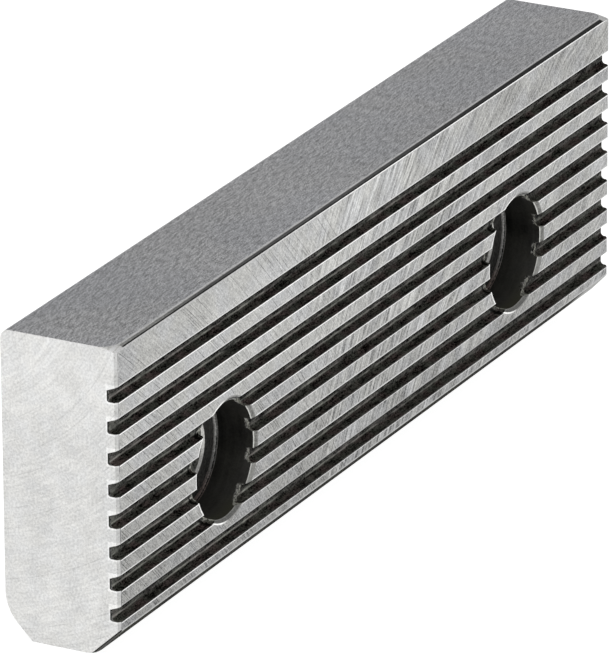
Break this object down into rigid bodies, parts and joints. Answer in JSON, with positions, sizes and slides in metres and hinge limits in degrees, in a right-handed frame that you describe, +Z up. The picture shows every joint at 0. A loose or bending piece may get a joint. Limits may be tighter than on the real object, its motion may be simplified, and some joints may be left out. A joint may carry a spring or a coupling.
{
  "type": "vise jaw",
  "caption": "Steel jaw plate for a machine vise, with lengthwise gripping grooves and counterbored screw holes.",
  "frame": {"origin": "middle of the lower face", "axes": "+X along the jaw, +Y from the grooved gripping face to the flat back, +Z up through its height"},
  "size_m": [0.135, 0.0158, 0.04],
  "materials": {
    "jaw_steel": "hardened steel, ground bright on the lands, top and ends, with dark scale left in the grooves, holes and lower slopes"
  },
  "bodies": {
    "root": {"jaw_plate": "jaw_steel"}
  },
  "joints": []
}
